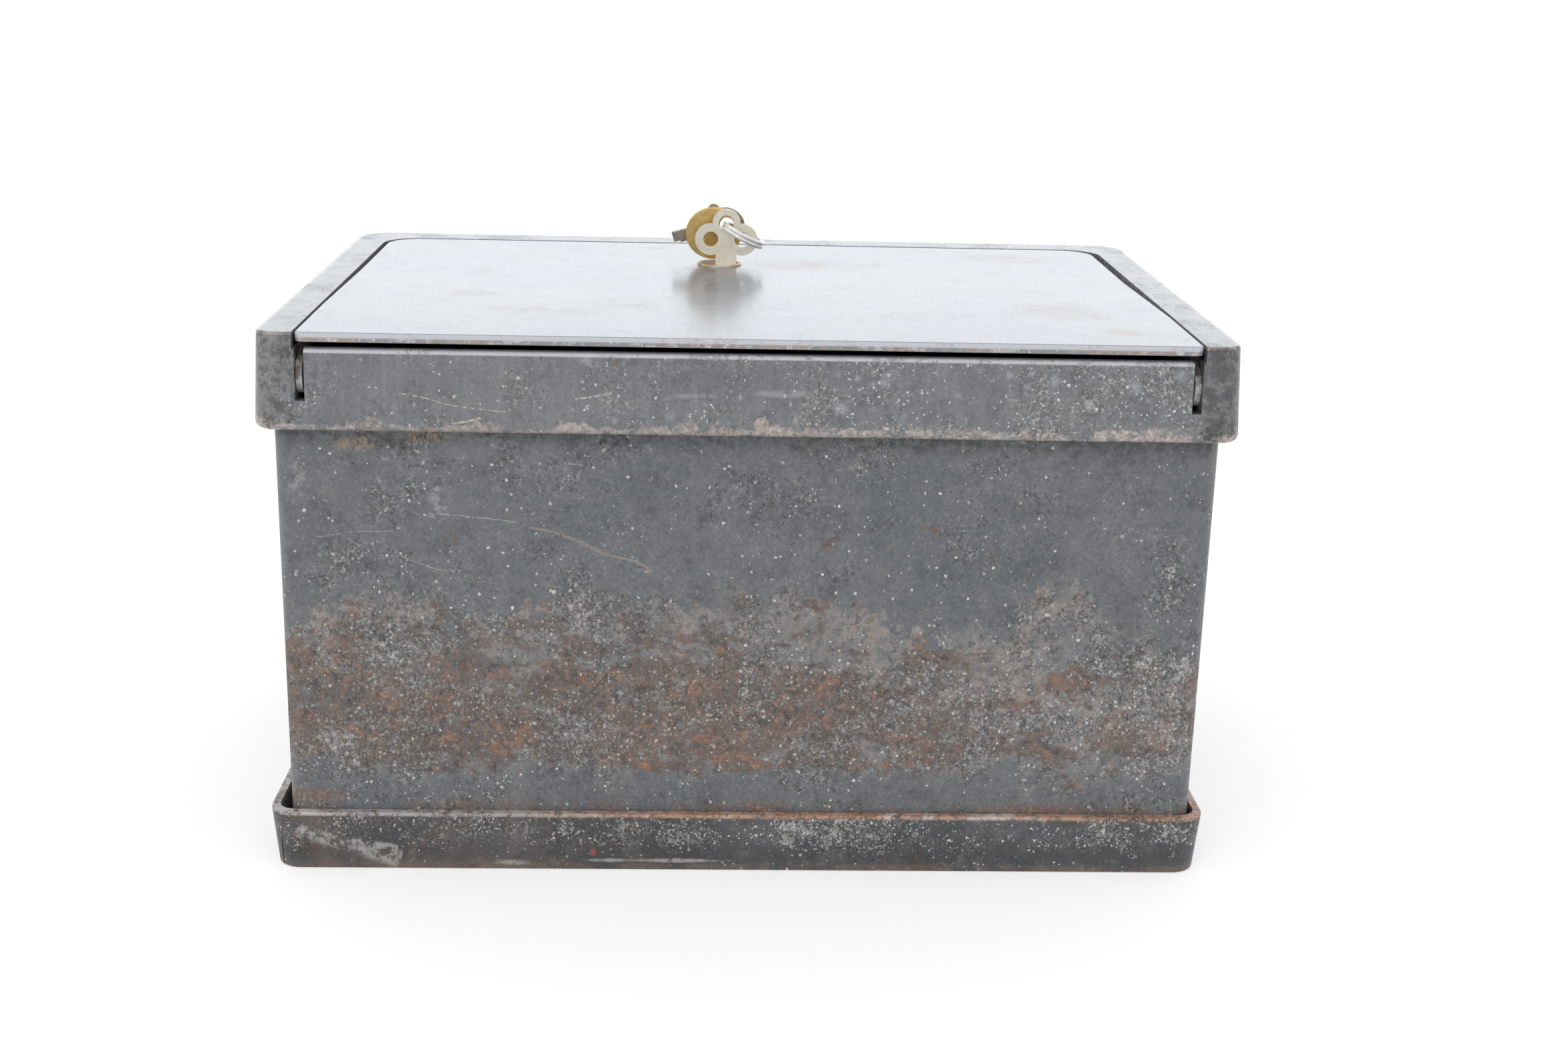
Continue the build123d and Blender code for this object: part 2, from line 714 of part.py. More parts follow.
# Barrel: a round head in the collar, a slotted body beside the levers, a journal through the cap
with BuildPart() as lock_barrel:
    with BuildSketch(Plane.XY.offset(case_roof)):
        with Locations((lock_x, lock_y)):
            Circle(barrel_head_r)
    extrude(amount=collar_top - barrel_recess - case_roof)
    with BuildSketch(Plane.XY.offset(barrel_floor)):
        with Locations((lock_x, lock_y)):
            Circle(barrel_body_r)
    extrude(amount=case_roof - barrel_floor)
    with BuildSketch(Plane.XY.offset(case_floor - cap_t)):
        with Locations((lock_x, lock_y)):
            Circle(journal_r)
    extrude(amount=barrel_floor - case_floor + cap_t)
    with BuildSketch(Plane.XY.offset(key_floor)):
        with Locations((lock_x + key_offset, lock_y)):
            Rectangle(key_width + 2 * key_slot_gap, key_t + 2 * key_slot_gap)
    extrude(amount=collar_top - key_floor, mode=Mode.SUBTRACT)

# Barrel cam: a disc on the journal with the crank pin that drives the bolt
crank_x = crank_r * cos(radians(crank_turn / 2))
crank_y = crank_r * sin(radians(crank_turn / 2))

with BuildPart() as barrel_cam:
    with BuildSketch(Plane.XY.offset(cam_bottom)):
        with Locations((lock_x, lock_y)):
            Circle(crank_r + crank_pin_r + cam_rim)
            Circle(journal_r + pin_seat, mode=Mode.SUBTRACT)
    extrude(amount=cam_t)
    with BuildSketch(Plane.XY.offset(cam_top)):
        with Locations((lock_x + crank_x, lock_y - crank_y)):
            Circle(crank_pin_r)
    extrude(amount=tail_top - cam_top)

# Bolt: a flat tail with a journal slot and a crank slot, and a thick head at the front
tail_back = -(bolt_travel + journal_r + journal_gap + tail_margin)
tail_length = bolt_head_back - tail_back
bolt_head_length = bolt_tip_local - bolt_head_back
bolt_tail_shift = (bolt_tail_right - bolt_tail_left) / 2

with BuildPart() as lock_bolt:
    with BuildSketch(Plane.XY.offset(tail_bottom)):
        with Locations((lock_x + bolt_tail_shift, lock_y + tail_back + tail_length / 2)):
            Rectangle(bolt_tail_left + bolt_tail_right, tail_length)
        with Locations((lock_x, lock_y - bolt_travel / 2)):
            SlotCenterToCenter(bolt_travel, 2 * (journal_r + journal_gap), rotation=90, mode=Mode.SUBTRACT)
        with Locations((lock_x + crank_r, lock_y - crank_y)):
            Rectangle(2 * crank_r, 2 * (crank_pin_r + crank_gap), mode=Mode.SUBTRACT)
        with Locations((lock_x + stump_x, lock_y + stump_y)):
            Circle(stump_r + pin_seat, mode=Mode.SUBTRACT)
    extrude(amount=bolt_tail_t)
    with BuildSketch(Plane.XY.offset(tail_bottom)):
        with Locations((lock_x, lock_y + bolt_head_back + bolt_head_length / 2)):
            Rectangle(bolt_head_width, bolt_head_length)
    extrude(amount=bolt_head_top - tail_bottom)

with BuildPart() as bolt_stump:
    with BuildSketch(Plane.XY.offset(tail_bottom)):
        with Locations((lock_x + stump_x, lock_y + stump_y)):
            Circle(stump_r)
    extrude(amount=case_roof - stack_gap - tail_bottom)


# The stump's centre as a lever sees it, when the bolt has moved by a share of its travel
def stump_in_lever(share, lift):
    arm_x = stump_x - lever_pivot_x
    arm_y = stump_y + share * bolt_travel - lever_pivot_y
    turn = radians(share * lift)
    return (
        lever_pivot_x + arm_x * cos(turn) + arm_y * sin(turn),
        lever_pivot_y - arm_x * sin(turn) + arm_y * cos(turn),
    )


# Levers: plates that turn on the post, with a belly beside the barrel and a gate for the stump
levers = {}
for number in range(lever_count):
    lift = lever_lift_first + lever_lift_step * number
    lever_bottom = levers_bottom + stack_gap / 2 + number * lever_pitch
    lever_plane = Plane(origin=(lock_x, lock_y, lever_bottom))
    gate_rear = stump_in_lever(0, lift)
    gate_front = stump_in_lever(1, lift)
    gate_middle = ((gate_rear[0] + gate_front[0]) / 2, (gate_rear[1] + gate_front[1]) / 2)
    with BuildPart() as lever:
        with BuildSketch(lever_plane):
            body_length = lever_end_x + lever_end_width - lever_pivot_x
            with Locations((lever_pivot_x + body_length / 2, (lever_body_low + lever_body_high) / 2)):
                Rectangle(body_length, lever_body_high - lever_body_low)
            with Locations((lever_end_x + lever_end_width / 2, (lever_end_low + lever_end_high) / 2)):
                Rectangle(lever_end_width, lever_end_high - lever_end_low)
            with Locations((lever_pivot_x, lever_pivot_y)):
                Circle(lever_boss_r)
                Circle(lever_post_r + turn_gap, mode=Mode.SUBTRACT)
            Circle(key_offset + key_width / 2 + lever_belly_gap, mode=Mode.SUBTRACT)
            with Locations(gate_rear, gate_front):
                Circle(stump_r + pocket_gap, mode=Mode.SUBTRACT)
            SlotCenterPoint(gate_middle, gate_front, 2 * (stump_r + gate_gap), mode=Mode.SUBTRACT)
        extrude(amount=lever_t)
    with BuildPart() as lever_spring:
        with BuildSketch(lever_plane):
            with BuildLine():
                TangentArc(
                    (spring_x, lever_body_high),
                    (spring_x + spring_reach, lever_body_high + spring_rise),
                    tangent=(0, 1),
                )
            trace(line_width=spring_t)
        extrude(amount=lever_t)
    levers[f"lever_{number + 1}"] = lever
    levers[f"lever_spring_{number + 1}"] = lever_spring

# Key: a flat bow of three rings, a stem and a blade cut in steps beside the levers
key_x = lock_x + key_offset
blade_edge = key_x + key_width / 2

bow_side_places = [(key_x + side * bow_side_x, collar_top + bow_side_z) for side in (-1, 1)]
bow_top_place = (key_x, collar_top + bow_top_z)

with BuildPart() as bow_key:
    with BuildSketch(Plane.XZ.offset(-lock_y)):
        with Locations((key_x, (key_tip + collar_top + bow_side_z) / 2)):
            Rectangle(key_width, collar_top + bow_side_z - key_tip)
        with Locations(*bow_side_places):
            Circle(bow_side_r)
        with Locations(bow_top_place):
            Circle(bow_top_r)
        with Locations(bow_top_place, *bow_side_places):
            Circle(bow_hole_r, mode=Mode.SUBTRACT)
        for number in range(lever_count):
            step_depth = key_step * (lever_count - number) / lever_count
            with Locations((blade_edge, levers_bottom + (number + 0.5) * lever_pitch)):
                Rectangle(2 * step_depth, lever_pitch, mode=Mode.SUBTRACT)
    extrude(amount=key_t / 2, both=True)
    hole_edges = edges().filter_by(lambda edge: edge.geom_type == GeomType.CIRCLE and edge.is_closed)
    fillet(hole_edges, bow_edge_r)

# Split ring: two turns of wire side by side, through the bow's top hole
wire_x = key_x + ring_rest_x
wire_z = collar_top + bow_top_z + ring_rest_z
slope = radians(ring_slope)
ring_x = wire_x + ring_mean_r * cos(slope)
ring_z = wire_z - ring_mean_r * sin(slope)
ring_centre = (ring_x, lock_y, ring_z)
ring_across = (cos(slope), 0, -sin(slope))
ring_normal = (sin(slope), 0, cos(slope))
wire_overlap = ring_wire_r / 10

with BuildPart() as key_ring:
    with BuildSketch(Plane(origin=ring_centre, x_dir=ring_across, z_dir=(0, -1, 0))):
        with Locations((ring_mean_r, ring_wire_r - wire_overlap), (ring_mean_r, wire_overlap - ring_wire_r)):
            Circle(ring_wire_r)
    revolve(axis=Axis(ring_centre, ring_normal))

# The tag and the spare key lean together behind the bow, on the ring's wire
lean_rad = radians(lean)


# A leaning plane at a distance behind the bow's top hole
def leaning_plane(behind):
    return Plane(
        origin=(key_x, lock_y + behind, collar_top + bow_top_z),
        x_dir=(1, 0, 0),
        z_dir=(0, -cos(lean_rad), -sin(lean_rad)),
    )


# Where the wire crosses that plane, with the ring half of the way through its swing
def wire_crossing(behind):
    angle = radians(ring_slope - ring_swing / 2)
    crossing = behind
    for _ in range(20):
        along = ring_mean_r - (ring_mean_r**2 - crossing**2) ** 0.5
        drop = ring_rest_z - along * sin(angle)
        crossing = behind - drop * sin(lean_rad) / cos(lean_rad)
    return (ring_rest_x + along * cos(angle), drop / cos(lean_rad))


with BuildPart() as brass_tag:
    with BuildSketch(leaning_plane(tag_behind)):
        with Locations((tag_centre_u, tag_centre_v)):
            Circle(tag_r)
        with Locations(wire_crossing(tag_behind)):
            Circle(tag_hole_r, mode=Mode.SUBTRACT)
    extrude(amount=tag_t / 2, both=True)
    fillet(edges().filter_by(GeomType.CIRCLE), bow_edge_r)

# Spare key: a small flat steel key with a lobed bow and a stepped blade
spare_length = hypot(spare_tip_u - spare_bow_u, spare_tip_v - spare_bow_v)
spare_angle = 180 + degrees((spare_bow_v - spare_tip_v) / (spare_bow_u - spare_tip_u))

with BuildPart() as spare_key:
    with BuildSketch(leaning_plane(tag_behind + spare_behind)):
        with Locations((spare_bow_u, spare_bow_v)):
            Circle(spare_bow_r)
        with Locations((spare_lobe_u, spare_lobe_v)):
            Circle(spare_lobe_r)
        with Locations(Location((spare_bow_u, spare_bow_v, 0), (0, 0, spare_angle))):
            with Locations((spare_length / 2, 0)):
                Rectangle(spare_length, spare_blade_w)
            for number in range(3):
                with Locations((spare_length - spare_step_length * number, spare_blade_w / 2)):
                    Rectangle(
                        2 * spare_step_length,
                        2 * spare_step * (3 - number) / 2,
                        mode=Mode.SUBTRACT,
                    )
        with Locations(wire_crossing(tag_behind + spare_behind)):
            Circle(spare_hole_r, mode=Mode.SUBTRACT)
    extrude(amount=spare_t / 2, both=True)

# Each piece is written to its own file
pieces = {
    "base_plate": base_plate,
    "case_shell": case_shell,
    "foot_strips": foot_strips,
    "plinth_band": plinth_band,
    "base_rivets": base_rivets,
    "rim_frame": rim_frame,
    "rim_rivets": rim_rivets,
    "hinge_bracket_left": hinge_bracket_left,
    "hinge_bracket_right": hinge_bracket_right,
    "bracket_rivets": bracket_rivets,
    "hinge_pin_left": hinge_pin_left,
    "hinge_pin_right": hinge_pin_right,
    "lid_rest_left": lid_rest_left,
    "lid_rest_right": lid_rest_right,
    "lid_rest_front": lid_rest_front,
    "rest_rivets": rest_rivets,
    "lid_plate": lid_plate,
    "hinge_arm_left": hinge_arm_left,
    "hinge_arm_right": hinge_arm_right,
    "arm_studs": arm_studs,
    "lock_collar": lock_collar,
    "lock_case": lock_case,
    "lock_cap": lock_cap,
    "cap_screws": cap_screws,
    "lever_post": lever_post,
    "lock_barrel": lock_barrel,
    "barrel_cam": barrel_cam,
    "lock_bolt": lock_bolt,
    "bolt_stump": bolt_stump,
    **levers,
    "bow_key": bow_key,
    "key_ring": key_ring,
    "brass_tag": brass_tag,
    "spare_key": spare_key,
}

os.makedirs("parts", exist_ok=True)
for name, piece in pieces.items():
    piece.part.label = name
    export_step(piece.part, f"parts/{name}.step")
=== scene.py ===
import bpy
import math
import numpy as np
from mathutils import Matrix

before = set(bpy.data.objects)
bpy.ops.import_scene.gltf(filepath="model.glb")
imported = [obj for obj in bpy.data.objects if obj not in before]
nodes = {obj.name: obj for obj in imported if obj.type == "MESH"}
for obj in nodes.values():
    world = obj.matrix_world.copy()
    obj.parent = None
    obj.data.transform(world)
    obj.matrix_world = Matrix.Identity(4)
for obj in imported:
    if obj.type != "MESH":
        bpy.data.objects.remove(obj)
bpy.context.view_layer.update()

# Body shell
# One folded sheet of 2.6 mm steel with rounded corners, stove-enamelled black long ago. Water has stood
# round it: below a ragged tide line the enamel is broken by rust and chalky grey crust.


def step(operation, turned=False):
    """A method that makes one Math node of a mask and what stands beside it, in turned order if asked."""
    if turned:
        return lambda mask, other: calc(operation, other, mask)
    return lambda mask, *others: calc(operation, mask, *others)


class Mask:
    """A value that changes over a surface: a mask, a height, a coordinate or a colour. Sums, products and
    comparisons of masks are Math nodes, a | b is the larger of two, and a < b is 1 where that is so."""

    def __init__(self, tree, socket):
        self.tree = tree
        self.socket = socket

    __add__ = step("ADD")
    __radd__ = step("ADD", turned=True)
    __sub__ = step("SUBTRACT")
    __rsub__ = step("SUBTRACT", turned=True)
    __mul__ = step("MULTIPLY")
    __truediv__ = step("DIVIDE")
    __pow__ = step("POWER")
    __or__ = step("MAXIMUM")
    __lt__ = step("LESS_THAN")
    __gt__ = step("GREATER_THAN")
    __abs__ = step("ABSOLUTE")

    def feeds(self, socket):
        """Joins the value to a socket of a shader or of a group's output."""
        self.tree.links.new(self.socket, socket)


def shade(tree, kind, inputs, **settings):
    """One shader node. Inputs go by socket name or number, and are masks or plain values. Gives the
    node's outputs as masks, by name and by number."""
    node = tree.nodes.new("ShaderNode" + kind)
    for name, value in settings.items():
        setattr(node, name, value)
    for key, value in inputs.items():
        if isinstance(value, Mask):
            value.feeds(node.inputs[key])
        else:
            node.inputs[key].default_value = value
    outputs = {}
    for number, socket in enumerate(node.outputs):
        outputs[number] = outputs[socket.name] = Mask(tree, socket)
    return outputs


def calc(operation, *values):
    """One step of arithmetic on masks and numbers."""
    tree = next(value.tree for value in values if isinstance(value, Mask))
    return shade(tree, "Math", dict(enumerate(values)), operation=operation)[0]


def srgb(red, green, blue):
    """A colour given as it looks on a screen, 0 to 255, turned into the shader's linear values."""
    screen = np.array([red, green, blue]) / 255
    linear = np.where(screen <= 0.04045, screen / 12.92, ((screen + 0.055) / 1.055) ** 2.4)
    return (*linear.tolist(), 1.0)


def fade(value, low, high):
    """Rises smoothly from 0 where the value is low to 1 where it is high."""
    inputs = {"Value": value, "From Min": low, "From Max": high}
    return shade(value.tree, "MapRange", inputs, interpolation_type="SMOOTHSTEP")[0]


def laid_over(mask, under, over):
    """The colour over, laid on the colour under where the mask is 1."""
    return shade(mask.tree, "Mix", {0: mask, 6: under, 7: over}, data_type="RGBA")[2]


def grain(place, scale, detail=4.0, roughness=0.6, distortion=0.0):
    """Cloudy noise between 0 and 1; scale is in clouds per metre."""
    inputs = {"Vector": place, "Scale": scale, "Detail": detail, "Roughness": roughness}
    return shade(place.tree, "TexNoise", {**inputs, "Distortion": distortion})[0]


def stirred(place, scale, reach):
    """Coordinates pushed about by a noise, so that round cells turn ragged; reach is in metres."""
    noise = shade(place.tree, "TexNoise", {"Vector": place, "Scale": scale, "Detail": 3.0})["Color"]
    inputs = {0: noise, 1: (reach, reach, reach), 2: place}
    return shade(place.tree, "VectorMath", inputs, operation="MULTIPLY_ADD")[0]


def stretched(place, scale, rotation=(0, 0, 0)):
    """Coordinates scaled by a factor along each axis, after a turn."""
    return shade(place.tree, "Mapping", {"Vector": place, "Rotation": rotation, "Scale": scale})[0]


def cells(place, scale):
    """The space cut into cells, so many per metre. Gives how far a point lies from the middle of its
    cell, in cells, and three chances between 0 and 1 that are each cell's own."""
    found = shade(place.tree, "TexVoronoi", {"Vector": place, "Scale": scale}, feature="F1")
    chance = shade(place.tree, "SeparateColor", {0: found["Color"]})
    return found["Distance"], chance[0], chance[1], chance[2]


def new_group(name, inputs, outputs):
    """An empty shader node group. Gives its inputs as masks, and the sockets that its outputs are fed to."""
    tree = bpy.data.node_groups.new(name, "ShaderNodeTree")
    for label, kind, value in inputs:
        socket = tree.interface.new_socket(label, in_out="INPUT", socket_type="NodeSocket" + kind)
        if value is not None:
            socket.default_value = value
    for label, kind in outputs:
        tree.interface.new_socket(label, in_out="OUTPUT", socket_type="NodeSocket" + kind)
    taken = {socket.name: Mask(tree, socket) for socket in tree.nodes.new("NodeGroupInput").outputs}
    return tree, taken, tree.nodes.new("NodeGroupOutput").inputs


# Old black enamel: clouding, fine grit, rust in broken clouds, chalky flecks, white specks and hairlines
old_enamel, taken, given = new_group(
    "old_enamel",
    [
        ("Vector", "Vector", None),
        ("Enamel", "Color", srgb(98, 101, 104)),
        ("Flecks", "Float", 0.2),
        ("Specks", "Float", 0.2),
        ("Rust", "Float", 0.1),
        ("Scratches", "Float", 0.3),
    ],
    [("Color", "Color"), ("Roughness", "Float"), ("Height", "Float")],
)
place = taken["Vector"]
clouding = grain(place, 15, 6, 0.66)
mottle = grain(place, 120, 7, 0.74)
grit = grain(place, 820, 4, 0.8)
colour = laid_over(fade(clouding, 0.36, 0.66) * 0.45, taken["Enamel"], srgb(126, 128, 130))
colour = laid_over(fade(mottle, 0.48, 0.72) * 0.55, colour, srgb(136, 135, 134))
colour = laid_over(fade(mottle, 0.5, 0.32) * 0.6, colour, srgb(76, 78, 82))
colour = laid_over(fade(grit, 0.52, 0.74) * 0.65, colour, srgb(160, 159, 157))
colour = laid_over(fade(grit, 0.48, 0.26) * 0.65, colour, srgb(58, 60, 64))
# rust lies in flat clouds, wider than they are high, broken to grains at their edges
flat = stretched(place, (1, 1, 1.7))
bloom = fade(grain(flat, 58, 10, 0.75, 0.4) + taken["Rust"] * 0.3, 0.6, 0.71)
rust_grain = grain(place, 430, 8, 0.82)
bloom = bloom * fade(rust_grain, 0.36, 0.56)
rust_tone = laid_over(fade(rust_grain, 0.42, 0.64), srgb(120, 99, 90), srgb(166, 136, 120))
hot = fade(grain(flat, 110, 7, 0.74), 0.51, 0.63)
rust_tone = laid_over(hot, rust_tone, srgb(200, 142, 106))
colour = laid_over(bloom * 0.8, colour, rust_tone)
# chalky flecks crowd where a slower cloud lets them
crowd = grain(place, 52, 6, 0.7)
fleck = grain(place, 400, 9, 0.82) + (crowd - 0.5) * 0.8 + taken["Flecks"] * 0.2
fleck = fade(fleck, 0.66, 0.72)
fleck_tone = laid_over(fade(grit, 0.4, 0.65), srgb(140, 139, 139), srgb(206, 205, 202))
colour = laid_over(fleck * 0.8, colour, fleck_tone)
# lime has dried in fine squiggles: the contour lines of a small noise, broken up, in the same crowds
vein = abs(grain(place, 330, 5, 0.7, 0.6) - 0.5)
vein = fade(vein, 0.034, 0.01) * fade(grit, 0.44, 0.58)
vein = vein * fade(crowd + taken["Flecks"] * 0.3, 0.56, 0.74)
colour = laid_over(vein * 0.62, colour, srgb(196, 195, 191))
# specks of three sizes, each cell keeping or dropping its own, thicker in the same crowds
ragged = stirred(place, 1300, 0.0012)
likely = taken["Specks"] * (0.2 + fade(crowd, 0.4, 0.64) * 0.8)
for cells_a_metre, reach, share in ((1100, 0.38, 1.0), (640, 0.3, 0.85), (300, 0.16, 0.35)):
    away, chance, size, paleness = cells(ragged, cells_a_metre)
    speck = fade((size + 0.3) * reach - away, -0.03, 0.06) * (chance < likely * share)
    tone = laid_over(paleness, srgb(178, 178, 176), srgb(244, 242, 237))
    colour = laid_over(speck * 0.9, colour, tone)
# hairline scratches follow the contour lines of a slow cloud, and only here and there
contour = abs(grain(place, 9, 2, 0.4, 0.6) - 0.52)
seldom = fade(grain(place, 34, 5, 0.7), 0.56, 0.62)
hairline = fade(contour, 0.0012, 0.0) * seldom * fade(grit, 0.4, 0.6) * taken["Scratches"]
colour = laid_over(hairline, colour, srgb(180, 172, 164))
colour.feeds(given["Color"])
(0.34 + bloom * 0.3 + fleck * 0.2 + mottle * 0.14).feeds(given["Roughness"])
(bloom * rust_grain + fleck * 0.5 + mottle * 0.4).feeds(given["Height"])


def painted(name, plain={}):
    """A new material, with the values that are the same all over. Gives it, its shader's sockets and its
    object coordinates."""
    material = bpy.data.materials.new(name)
    material.use_nodes = True
    tree = material.node_tree
    sockets = tree.nodes["Principled BSDF"].inputs
    for label, value in plain.items():
        sockets[label].default_value = value
    return material, sockets, shade(tree, "TexCoord", {})["Object"]


def axes(place):
    """The coordinates x, y and z of a place, in metres."""
    split = shade(place.tree, "SeparateXYZ", {0: place})
    return split[0], split[1], split[2]


def enamelled(place, enamel, flecks, specks, rust, scratches):
    """The old enamel, with a piece's own ground colour and amounts of wear from 0 to 1."""
    inputs = {"Vector": place, "Enamel": enamel, "Flecks": flecks, "Specks": specks, "Rust": rust}
    return shade(place.tree, "Group", {**inputs, "Scratches": scratches}, node_tree=old_enamel)


def finish(sockets, colour, roughness, height, depth):
    """Joins colour, roughness and a bump of the given depth in metres to the shader."""
    colour.feeds(sockets["Base Color"])
    roughness.feeds(sockets["Roughness"])
    bump = shade(colour.tree, "Bump", {"Height": height, "Distance": depth, "Strength": 1.0})
    bump["Normal"].feeds(sockets["Normal"])


def wear(material, *names):
    """Gives the material to the CAD nodes named."""
    for name in names:
        nodes[name].data.materials.clear()
        nodes[name].data.materials.append(material)


def drawn_line(x, z, points, width, side):
    """A chain of straight scratches on one side of the box. Points (x, z) and width are in millimetres."""
    total = None
    for (x0, z0), (x1, z1) in zip(points[:-1], points[1:]):
        length = math.hypot(x1 - x0, z1 - z0)
        ux, uz = (x1 - x0) / length, (z1 - z0) / length
        dx, dz = x - x0 / 1000, z - z0 / 1000
        along = dx * ux + dz * uz
        across = dx * uz - dz * ux
        near = fade(abs(across), width / 1000, width / 2500)
        part = near * calc("COMPARE", along, length / 2000, length / 1960)
        total = part if total is None else total | part
    return total * side


def soft_spot(x, z, centre, size, ragged, low=1.0, high=0.3):
    """An oval patch, centre and half size in millimetres, whose edge is made ragged by a noise."""
    dx = (x - centre[0] / 1000) / (size[0] / 1000)
    dz = (z - centre[1] / 1000) / (size[1] / 1000)
    away = calc("SQRT", dx**2.0 + dz**2.0) + (ragged - 0.5) * 2.4
    return fade(away, low, high)


shell_paint, sockets, place = painted("shell_enamel")
x, y, z = axes(place)
# x runs along the hinge side, which faces the camera, and y towards the lock side
hinge_side = y < -0.1
ragged = grain(place, 44, 9, 0.74)
fine = grain(place, 280, 7, 0.78)
grit = grain(place, 800, 4, 0.8)
# the tide line along the long walls, as points (x, height) in millimetres; the ramp holds heights from 60
# to 120 mm as 0 to 1
half_length = 0.1532
tide_points = [(-143, 87), (-125, 103), (-103, 89), (-79, 90), (-53, 96), (-5, 99), (17, 98), (35, 93)]
tide_points += [(55, 84), (73, 91), (86, 83), (99, 104), (115, 99), (133, 86), (148, 74)]
tide = place.tree.nodes.new("ShaderNodeValToRGB")
shade(place.tree, "MapRange", {0: x, 1: -half_length, 2: half_length})[0].feeds(tide.inputs[0])
ramp = tide.color_ramp
ramp.interpolation = "B_SPLINE"
while len(ramp.elements) < len(tide_points):
    ramp.elements.new(0.5)
for stop, (along, height) in zip(ramp.elements, tide_points):
    level = (height - 60) / 60
    stop.position = (along / 1000 + half_length) / (2 * half_length)
    stop.color = (level, level, level, 1)
tide_height = Mask(place.tree, tide.outputs[0]) * 0.06 + 0.06
wander = (ragged - 0.5) * 0.07
below = tide_height - z + wander + (fine - 0.5) * 0.02
# the zone that stood in the water lies below that line, ends above the foot, and is on the outside only
zone = fade(below, 0.0, 0.0032) * fade(z + wander * 0.8, 0.029, 0.043)
inner_face_x, inner_face_y = 0.15068, 0.10158
zone = zone * ((abs(x) > inner_face_x) | (abs(y) > inner_face_y))
deep = zone * fade(z, 0.094, 0.062)
leftward = fade(x, 0.12, -0.03)
left_end = fade(x, -0.06, -0.13) * fade(z, 0.16, 0.09)
# inside the zone the ground is hazed with a paler, pinkish grey, whose upper edge is sharp and ragged
islands = fade(grain(place, 27, 8, 0.74), 0.52, 0.6)
haze = zone * fade(fine, 0.34, 0.52) * (1.0 - islands * 0.65)
murk = fade(grain(place, 70, 8, 0.74), 0.44, 0.58)
haze_tone = laid_over(murk, srgb(152, 150, 147), srgb(186, 168, 159))
aged = enamelled(
    place,
    enamel=laid_over(haze * 0.85, srgb(108, 113, 118), haze_tone),
    flecks=0.24 + zone * 0.34 + left_end * 0.2,
    specks=0.1 + deep * 0.66 + zone * 0.12 + left_end * 0.12,
    rust=zone * 0.1 + deep * 0.33 + zone * (leftward * 0.26),
    scratches=0.5,
)
# and pitted down to the dark
pits = zone * fade(grain(place, 240, 8, 0.78), 0.47, 0.39)
colour = laid_over(pits * 0.6, aged["Color"], srgb(82, 84, 86))
# a flake of tan dirt under the rim, chalky runs below it and the long curved scratch of the hinge side
tan = soft_spot(x, z, (-125, 147.5), (11, 3.2), ragged) | soft_spot(x, z, (-105, 150), (9, 2.2), ragged)
tan = tan * hinge_side * fade(fine, 0.4, 0.52)
colour = laid_over(tan * 0.75, colour, srgb(176, 150, 122))
runs = soft_spot(x, z, (-112, 134), (2.2, 13), ragged)
runs = runs | soft_spot(x, z, (-101, 128), (5, 11), ragged)
runs = runs | soft_spot(x, z, (-146, 136), (4.5, 12), ragged)
runs = runs * hinge_side * fade(fine, 0.46, 0.58)
colour = laid_over(runs * 0.7, colour, srgb(172, 174, 176))
wavy = z + fine * 0.0016
bend = [(-71.3, 121.2), (-64, 119.7), (-57.3, 117.3), (-52, 115), (-47.5, 112.5)]
bend += [(-43, 111.5), (-37.7, 110.3), (-34, 108.4), (-31.2, 106.2)]
long_scratch = drawn_line(x, wavy, bend, 0.62, hinge_side) * fade(grit, 0.3, 0.5)
colour = laid_over(long_scratch * 0.75, colour, srgb(166, 150, 141))
thin = drawn_line(x, wavy, [(-100.2, 125.3), (-88, 124.3), (-75.6, 122.9)], 0.3, hinge_side)
thin = thin | drawn_line(x, wavy, [(-111, 110), (-102, 106.5), (-96, 105.9)], 0.26, hinge_side)
thin = thin | drawn_line(x, wavy, [(-140, 117), (-129, 119), (-116, 119.3)], 0.22, hinge_side)
thin = thin | drawn_line(x, z, [(-60, 142), (-54, 141.6)], 0.3, hinge_side)
colour = laid_over(thin * fade(grit, 0.4, 0.56) * 0.8, colour, srgb(190, 186, 182))
# little rings where bubbles in the enamel burst
away, chance, size, _ = cells(place, 42)
bubble = fade(abs(away - (0.045 + size * 0.05)), 0.014, 0.003) * (chance < 0.4)
bubble = bubble * fade(fine, 0.44, 0.56) * fade(z, 0.118, 0.105)
colour = laid_over(bubble * 0.65, colour, srgb(190, 188, 184))
# a thin grey line of wear on the upright bends, painted shade under the rim, brown where the foot holds damp
rubbed = fade(abs(x), 0.1485, 0.1515) * fade(abs(y), 0.0995, 0.1025) * fade(fine, 0.4, 0.6)
colour = laid_over(rubbed * 0.4, colour, srgb(146, 142, 138))
drips = z + (ragged - 0.5) * 0.016
# painted shade: a dark band just under the rim, broken by a noise into ragged drips of grime
shade_and_grime = fade(drips, 0.1455, 0.1505) * (fade(fine, 0.56, 0.42) * 0.6 + 0.2)
colour = laid_over(shade_and_grime, colour, srgb(62, 60, 60))
damp_corner = soft_spot(x, z, (-146, 25), (14, 4), ragged) * hinge_side
damp = fade(z, 0.0262, 0.0215) * fade(ragged, 0.42, 0.58)
damp = (damp | damp_corner) * fade(fine, 0.34, 0.5)
damp_tone = laid_over(fade(grit, 0.5, 0.66), srgb(124, 96, 80), srgb(200, 178, 164))
colour = laid_over(damp * 0.75, colour, damp_tone)
finish(sockets, colour, aged["Roughness"], aged["Height"], 0.0003)
wear(shell_paint, "case_shell")

